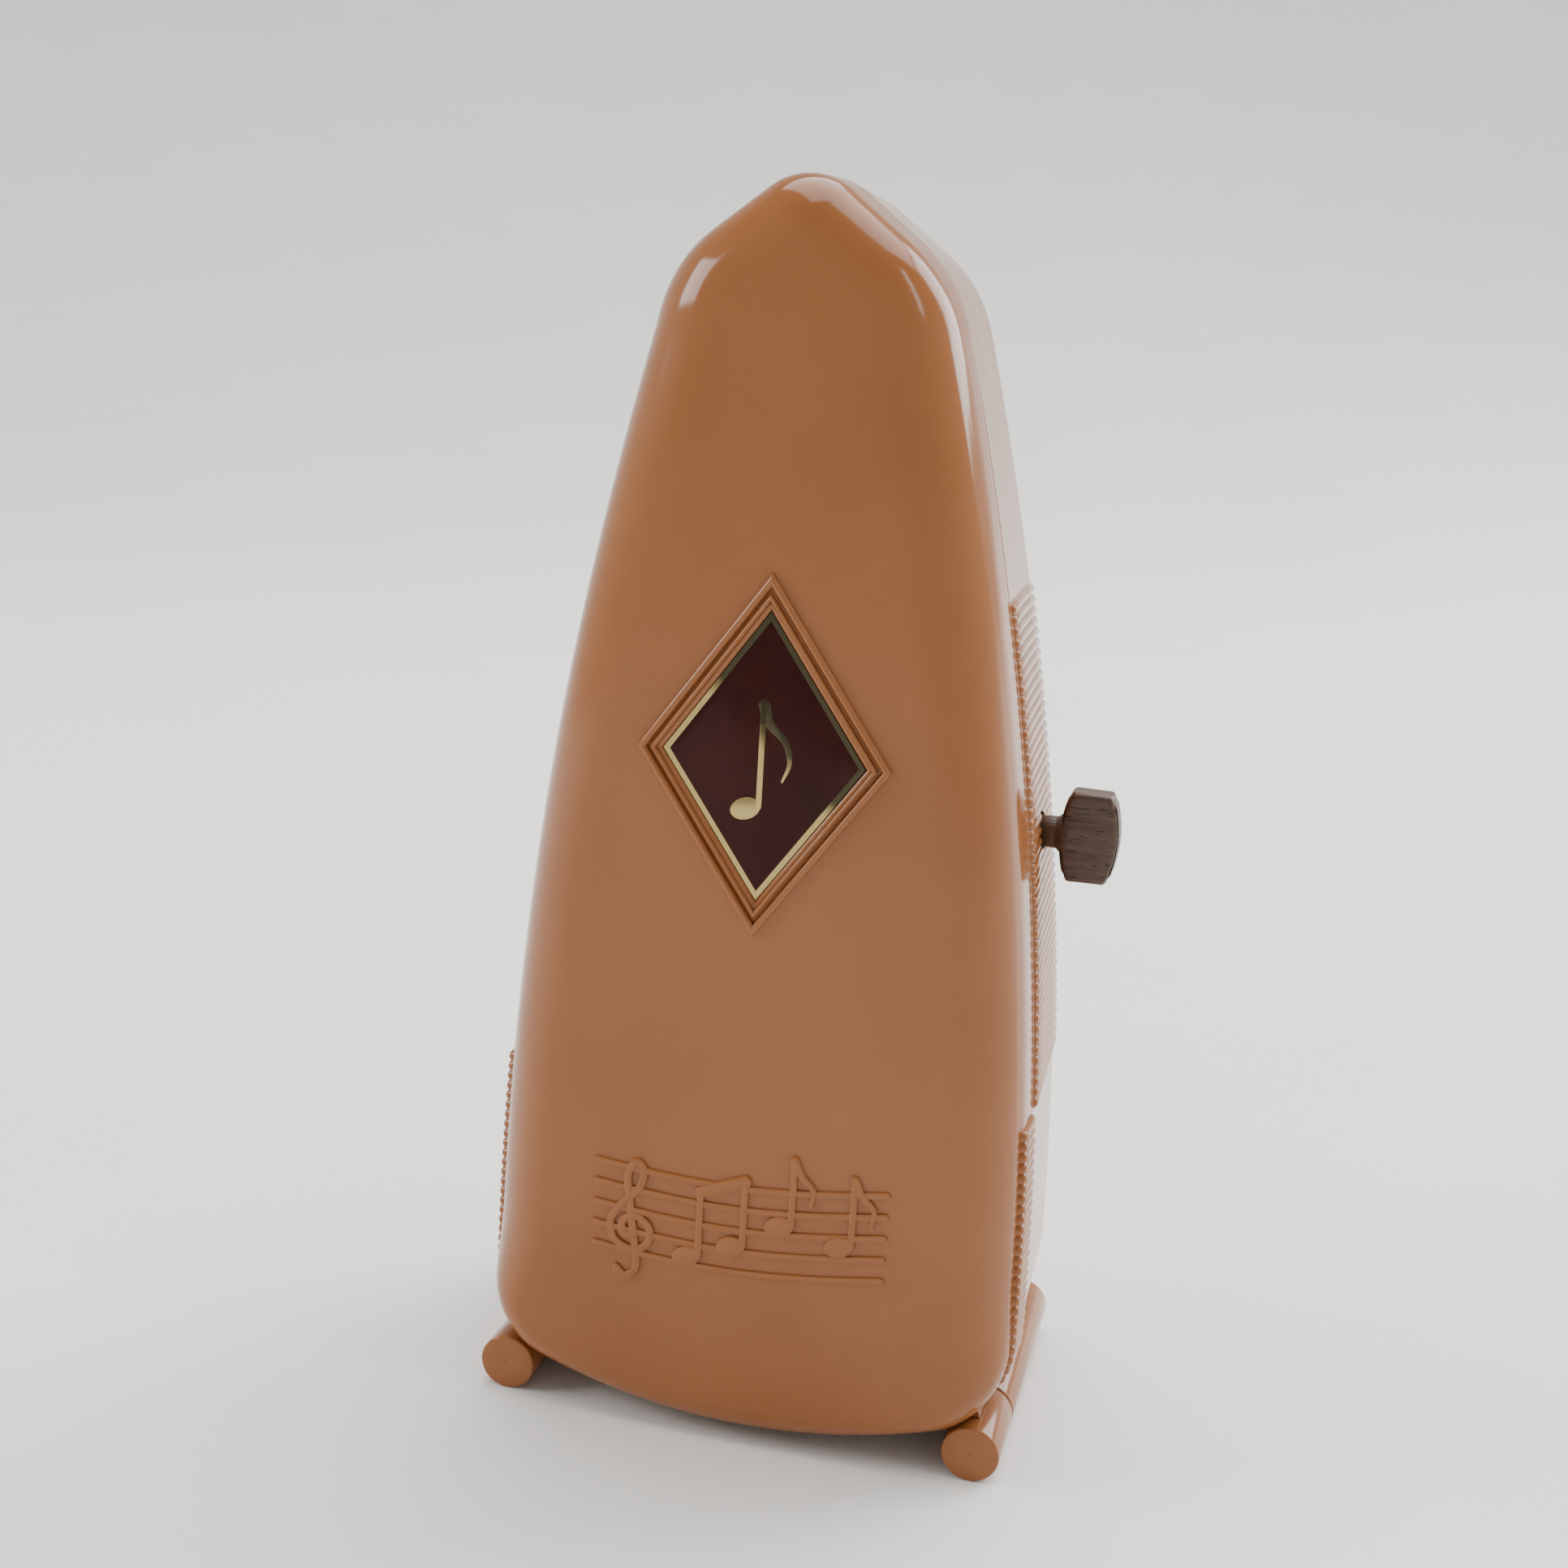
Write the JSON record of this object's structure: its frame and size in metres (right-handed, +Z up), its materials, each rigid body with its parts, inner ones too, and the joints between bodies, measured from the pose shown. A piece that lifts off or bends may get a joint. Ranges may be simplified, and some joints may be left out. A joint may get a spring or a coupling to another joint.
{
  "type": "metronome",
  "caption": "Wind-up pendulum metronome in a glossy two-part arched case with ribbed sides, a pull-off front cover, a diamond badge and a side winding key.",
  "frame": {"origin": "centre of the bounding box's footprint, on the surface that the feet stand on", "axes": "+X to the side with the winding key, +Y to the back, +Z up"},
  "size_m": [0.0769, 0.0468, 0.16],
  "materials": {
    "case_plastic": "moulded caramel plastic, glossy",
    "key_brown": "dark brown, fine grain along the key's axis",
    "badge_enamel": "burgundy lacquer with a thin gold border",
    "steel": "bright steel",
    "spring_steel": "blued spring steel",
    "brass": "turned and cut brass",
    "cast_weight": "dull grey casting",
    "scale_enamel": "pale satin paint with printed tempo lines"
  },
  "bodies": {
    "case": {"rear_housing": "case_plastic", "inner_bezel": "case_plastic", "scale_plate": "scale_enamel", "scale_screw_1": "steel", "scale_screw_2": "steel", "scale_screw_3": "steel", "scale_screw_4": "steel", "chassis": "steel", "chassis_screw_1": "steel", "chassis_screw_2": "steel", "chassis_screw_3": "steel", "chassis_screw_4": "steel", "lower_pillar": "steel", "upper_pillar": "steel", "verge_front_cock": "brass", "verge_rear_cock": "brass", "escape_cock": "brass", "great_left_bush": "brass", "great_right_bush": "brass", "idler_left_bush": "brass", "idler_right_bush": "brass", "escape_right_bush": "brass", "spring_cup": "steel", "mainspring": "spring_steel", "pendulum_catch": "steel", "rear_left_foot": "case_plastic", "rear_right_foot": "case_plastic"},
    "cover": {"front_cover": "case_plastic", "badge_plaque": "badge_enamel", "front_left_foot": "case_plastic", "front_right_foot": "case_plastic"},
    "pendulum": {"pendulum_rod": "steel", "verge_arbor": "steel", "pendulum_hub": "brass", "front_pallet": "steel", "rear_pallet": "steel", "front_counterweight": "cast_weight", "rear_counterweight": "cast_weight", "weight_rivet": "brass"},
    "sliding_bob": {"bob": "brass", "bob_spring": "spring_steel"},
    "winding": {"winding_key": "key_brown", "winding_arbor": "steel", "ratchet_wheel": "steel"},
    "great": {"great_wheel": "brass", "click_pin": "steel"},
    "click": {"ratchet_click": "steel"},
    "idler": {"idler_arbor": "steel", "idler_pinion": "steel", "idler_wheel": "brass"},
    "escape": {"escape_arbor": "steel", "escape_pinion": "steel", "crown_wheel": "brass"}
  },
  "joints": [
    {"name": "cover_pull", "type": "slide", "parent": "case", "child": "cover", "axis": [0, -1, 0], "range_m": [0, 0.06]},
    {"name": "pendulum_swing", "type": "hinge", "parent": "case", "child": "pendulum", "pos_m": [-0.00254, -0.0136, 0.057], "axis": [0, 1, 0], "range_deg": [-8.5, 8.5]},
    {"name": "bob_slide", "type": "slide", "parent": "pendulum", "child": "sliding_bob", "axis": [0, 0, 1], "range_m": [-0.032, 0.014]},
    {"name": "key_turn", "type": "hinge", "parent": "case", "child": "winding", "pos_m": [-0.00254, 0.0039, 0.0805], "axis": [1, 0, 0], "continuous": true},
    {"name": "great_wheel_turn", "type": "hinge", "parent": "case", "child": "great", "pos_m": [0.00036, 0.0039, 0.0805], "axis": [1, 0, 0], "continuous": true},
    {"name": "click_lift", "type": "hinge", "parent": "great", "child": "click", "pos_m": [0.00226, 0.0077, 0.0871], "axis": [1, 0, 0], "range_deg": [-14, 0], "stiffness_Nm_per_rad": 0.0005},
    {"name": "idler_turn", "type": "hinge", "parent": "case", "child": "idler", "pos_m": [0.01016, 0.0039, 0.068], "axis": [1, 0, 0], "continuous": true},
    {"name": "escape_turn", "type": "hinge", "parent": "case", "child": "escape", "pos_m": [0.00716, 0.0039, 0.057], "axis": [1, 0, 0], "continuous": true}
  ],
  "couplings": [
    {"joint": "idler_turn", "follows": "great_wheel_turn", "ratio": -4},
    {"joint": "escape_turn", "follows": "great_wheel_turn", "ratio": 18}
  ]
}
